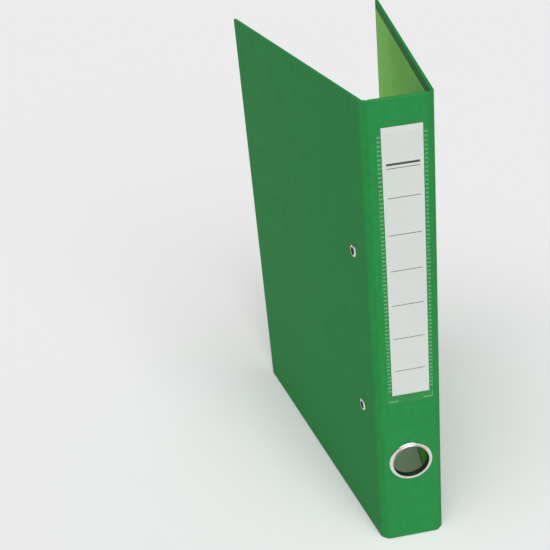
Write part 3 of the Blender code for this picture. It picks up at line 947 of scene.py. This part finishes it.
def add_rivets():
    outside = -LINING_FACE - 0.00015
    rim = SHIELD_BASE + 0.00095
    shank, bore, head = 0.0028, 0.0022, 0.0040
    profile = rounded(
        [
            (0.0026, rim + 0.00085),
            (0.0031, rim + 0.0004),
            (0.0032, rim),
            (shank, rim),
            (shank, outside),
            (head, outside),
            (head, outside - 0.0003),
            (0.0035, outside - 0.0007),
            (0.0028, outside - 0.0009),
            (bore, outside - 0.0005),
            (bore, rim + 0.0004),
        ],
        0.0004,
        3,
    )
    for word, end in (("upper", 1), ("lower", -1)):
        matrix = MECHANISM @ Matrix.Translation((0, end * RIVET_PITCH / 2, 0))
        rivet = turned(f"{word}_hollow_rivet", profile, matrix, 64)
        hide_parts(f"{word}_rivet")
        finish_piece(rivet, "bright_nickel", "rear_cover", 60)
        # Painted shade: the rivet's hollow and its funnel, out to the shank radius, get the near-black bore metal.
        paint_bore_shade(rivet, matrix, shank)


def ring_path(side, steps=48):
    """The wire's centre line from the foot on the blade to the tip, in the mechanism's frame."""
    sweep, foot_height, tip_gap = math.radians(138), 0.0031, 0.00015
    start = math.pi / 2 + sweep
    bend = Vector((math.cos(start), math.sin(start))) * RING_RADIUS
    tangent = Vector((-math.sin(start), math.cos(start)))
    foot = bend + tangent * ((RING_CENTRE + bend.y - foot_height) / -tangent.y)
    points = [foot, foot.lerp(bend, 0.5)]
    for step in range(steps + 1):
        angle = start - sweep * step / steps
        points.append(Vector((math.cos(angle), math.sin(angle))) * RING_RADIUS)
    points[-1].x -= tip_gap
    return [Vector((-side * point.x, 0, RING_CENTRE + point.y)) for point in points]


def wire_rows(path, radius, sides=20):
    """Circles across a path in the XZ plane, with the ends eased in."""
    rows = []
    last = len(path) - 1
    for index, point in enumerate(path):
        ahead = path[min(index + 1, last)] - path[max(index - 1, 0)]
        way = ahead.normalized()
        side = Vector((0, 1, 0))
        other = way.cross(side)
        scales = [(0.0, 1.0)]
        if index == 0:
            scales = [(-0.00012, 0.8), (0.0, 1.0)]
        if index == last:
            scales = [(-0.00012, 1.0), (0.0, 0.86)]
        for shift, scale in scales:
            middle = point + way * shift
            rows.append(
                [
                    middle
                    + (side * math.cos(math.tau * k / sides) + other * math.sin(math.tau * k / sides))
                    * (radius * scale)
                    for k in range(sides)
                ]
            )
    return rows


def add_rings(sizes):
    for word, end in (("upper", 1), ("lower", -1)):
        for name, side in (("fold_side", -1), ("edge_side", 1)):
            rows = wire_rows(ring_path(side), sizes.wire_radius)
            half = surface(f"{word}_{name}_half_ring", rows, caps=True)
            tip = UP * (RING_CENTRE + RING_RADIUS)
            across = Matrix.Translation(tip) @ Matrix.Rotation(math.pi / 2, 4, "Y")
            if side < 0:
                combined(half, [rod("tongue", 0.00055, -0.001, 0.0008, across, 24)], "UNION")
            else:
                combined(half, [rod("socket", 0.0008, -0.001, 0.0012, across, 24)])
            half.data.transform(MECHANISM @ Matrix.Translation((0, end * RING_PITCH / 2, 0)))
            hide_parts(f"{word}_ring_{name}")
            finish_piece(half, "bright_nickel", f"{name}_rings", 50)


def add_blade_rivets():
    """The peened end of each ring's tenon under its blade."""
    shank, top, under, bottom, core = 0.0008, 0.0008, -0.00232, -0.0027, 0.0001
    profile = [(shank, top), (shank, under), (0.0015, under), (0.0013, bottom), (core, -0.00272), (core, top)]
    profile = rounded(profile, 0.0001, 2)
    for word, end in (("upper", 1), ("lower", -1)):
        for name, side in (("fold_side", -1), ("edge_side", 1)):
            foot = ring_path(side)[0]
            place = (
                MECHANISM
                @ Matrix.Translation((foot.x, end * RING_PITCH / 2, foot.z))
                @ Matrix.Rotation(-side * BLADE_DROOP, 4, "Y")
            )
            tenon = turned(f"{word}_{name}_tenon", profile, place, 24)
            finish_piece(tenon, "spring_steel", f"{name}_rings", 50)


# --- Operators --------------------------------------------------------------------------------


class RingFileOperator:
    bl_options = {"REGISTER", "UNDO"}


class RING_FILE_OT_stage(RingFileOperator, bpy.types.Operator):
    """Set up the floor, the studio light and the camera"""

    bl_idname = "ring_file.add_stage"
    bl_label = "Add stage"

    def execute(self, context):
        add_floor(context.scene.ring_file_colours)
        add_lights()
        add_camera()
        return {"FINISHED"}


class RING_FILE_OT_materials(RingFileOperator, bpy.types.Operator):
    """Make the materials and their shader groups"""

    bl_idname = "ring_file.add_materials"
    bl_label = "Make materials"

    def execute(self, context):
        make_materials(context.scene.ring_file_colours)
        return {"FINISHED"}


class RING_FILE_OT_case(RingFileOperator, bpy.types.Operator):
    """Add the covered spine, covers, fold strips and bends"""

    bl_idname = "ring_file.add_case"
    bl_label = "Add case"

    def execute(self, context):
        sizes = context.scene.ring_file_sizes
        add_spine_case(sizes)
        for hinge in (REAR, FRONT):
            add_cover_case(hinge, sizes)
            add_strip(hinge, sizes)
            add_corner_folds(hinge, sizes)
        for node in ("spine_board", "rear_cover_board", "front_cover_board"):
            paint(node, "grey_board")
        return {"FINISHED"}


class RING_FILE_OT_lining(RingFileOperator, bpy.types.Operator):
    """Add the lining paper inside the case and over its folds"""

    bl_idname = "ring_file.add_lining"
    bl_label = "Add lining"

    def execute(self, context):
        for node in ("spine_lining", "rear_cover_lining", "front_cover_lining"):
            paint(node, "lining_paper")
        for hinge in (REAR, FRONT):
            add_hinge_lining(hinge, context.scene.ring_file_sizes)
        return {"FINISHED"}


class RING_FILE_OT_finger_ring(RingFileOperator, bpy.types.Operator):
    """Add the finger ring and the washer behind it"""

    bl_idname = "ring_file.add_finger_ring"
    bl_label = "Add finger ring"

    def execute(self, context):
        add_finger_ring()
        return {"FINISHED"}


class RING_FILE_OT_label(RingFileOperator, bpy.types.Operator):
    """Add the ruled label and its clear pocket"""

    bl_idname = "ring_file.add_label"
    bl_label = "Add label and pocket"

    def execute(self, context):
        sizes = context.scene.ring_file_sizes
        add_label(sizes)
        add_pocket(sizes)
        return {"FINISHED"}


class RING_FILE_OT_shield(RingFileOperator, bpy.types.Operator):
    """Add the mechanism's arched shield and its two rivets"""

    bl_idname = "ring_file.add_shield"
    bl_label = "Add shield and rivets"

    def execute(self, context):
        add_shield()
        add_rivets()
        return {"FINISHED"}


class RING_FILE_OT_rings(RingFileOperator, bpy.types.Operator):
    """Add the four half-rings and finish the blades that carry them"""

    bl_idname = "ring_file.add_rings"
    bl_label = "Add rings and blades"

    def execute(self, context):
        for node in ("fold_side_blade", "edge_side_blade"):
            paint(node, "spring_steel")
        add_rings(context.scene.ring_file_sizes)
        add_blade_rivets()
        return {"FINISHED"}


class RING_FILE_PT_panel(bpy.types.Panel):
    """Lists the steps that build the file"""

    bl_idname = "RING_FILE_PT_panel"
    bl_label = "Two-ring file"
    bl_space_type = "VIEW_3D"
    bl_region_type = "UI"
    bl_category = "Two-ring file"

    def draw(self, context):
        for group in (context.scene.ring_file_sizes, context.scene.ring_file_colours):
            for name in group.__annotations__:
                self.layout.prop(group, name)
        for operator in OPERATORS:
            self.layout.operator(operator.bl_idname)


# --- Stage ------------------------------------------------------------------------------------


def add_floor(colours):
    bm = bmesh.new()
    bmesh.ops.create_grid(bm, x_segments=8, y_segments=8, size=20.0)
    floor = from_bmesh("studio_floor", bm)
    floor.location.z = -0.0002
    material = add_material(
        "studio_floor", Base_Color=(*colours.floor, 1), Roughness=0.9, Specular_IOR_Level=0.0
    )[0]
    floor.data.materials.append(material)


def add_light(name, kind, energy, towards, place=(0, 0, 0), **settings):
    light = bpy.data.lights.new(name, kind)
    light.energy = energy
    for attribute, value in settings.items():
        setattr(light, attribute, value)
    obj = bpy.data.objects.new(name, light)
    bpy.context.scene.collection.objects.link(obj)
    obj.location = place
    obj.rotation_euler = (-Vector(towards)).to_track_quat("-Z", "Y").to_euler()
    obj.visible_camera = False


def add_lights():
    """A soft key from the front, a wide light from above and an even surround."""
    add_light("key", "SUN", 1.15, (0.14, -0.84, 0.54), angle=math.radians(40))
    add_light("overhead", "SUN", 2.0, (-0.1, -0.4, 0.91), angle=math.radians(60))
    world = bpy.data.worlds.new("studio")
    world.use_nodes = True
    bpy.context.scene.world = world
    background = world.node_tree.nodes["Background"]
    background.inputs["Color"].default_value = (1, 1, 1, 1)
    background.inputs["Strength"].default_value = 0.2
    bpy.context.scene.view_settings.view_transform = "Standard"


def add_camera():
    """A long lens, a little above and to the left of the spine, looking down."""
    data = bpy.data.cameras.new("camera")
    data.sensor_width = 36.0
    data.lens = 64.05
    data.clip_start = 0.01
    camera = bpy.data.objects.new("camera", data)
    bpy.context.scene.collection.objects.link(camera)
    yaw, pitch, roll = (math.radians(angle) for angle in (6.61, -27.85, -6.04))
    ahead = Vector((math.sin(yaw) * math.cos(pitch), math.cos(yaw) * math.cos(pitch), math.sin(pitch)))
    level = Vector((math.cos(yaw), -math.sin(yaw), 0))
    over = level.cross(ahead)
    right = level * math.cos(roll) + over * math.sin(roll)
    above = over * math.cos(roll) - level * math.sin(roll)
    turn = Matrix([[right[i], above[i], -ahead[i]] for i in range(3)]).to_4x4()
    camera.matrix_world = Matrix.Translation((-0.1371, -0.5085, 0.4918)) @ turn
    bpy.context.scene.camera = camera


OPERATORS = (
    RING_FILE_OT_stage,
    RING_FILE_OT_materials,
    RING_FILE_OT_case,
    RING_FILE_OT_lining,
    RING_FILE_OT_finger_ring,
    RING_FILE_OT_label,
    RING_FILE_OT_shield,
    RING_FILE_OT_rings,
)
CLASSES = (RingFileSizes, RingFileColours, *OPERATORS, RING_FILE_PT_panel)


def register():
    for cls in CLASSES:
        bpy.utils.register_class(cls)
    bpy.types.Scene.ring_file_sizes = bpy.props.PointerProperty(type=RingFileSizes)
    bpy.types.Scene.ring_file_colours = bpy.props.PointerProperty(type=RingFileColours)


def unregister():
    del bpy.types.Scene.ring_file_colours
    del bpy.types.Scene.ring_file_sizes
    for cls in reversed(CLASSES):
        bpy.utils.unregister_class(cls)


def main():
    register()
    bpy.ops.ring_file.add_stage()
    bpy.ops.ring_file.add_materials()
    bpy.ops.ring_file.add_case()
    bpy.ops.ring_file.add_lining()
    bpy.ops.ring_file.add_finger_ring()
    bpy.ops.ring_file.add_label()
    bpy.ops.ring_file.add_shield()
    bpy.ops.ring_file.add_rings()


if __name__ == "__main__":
    main()
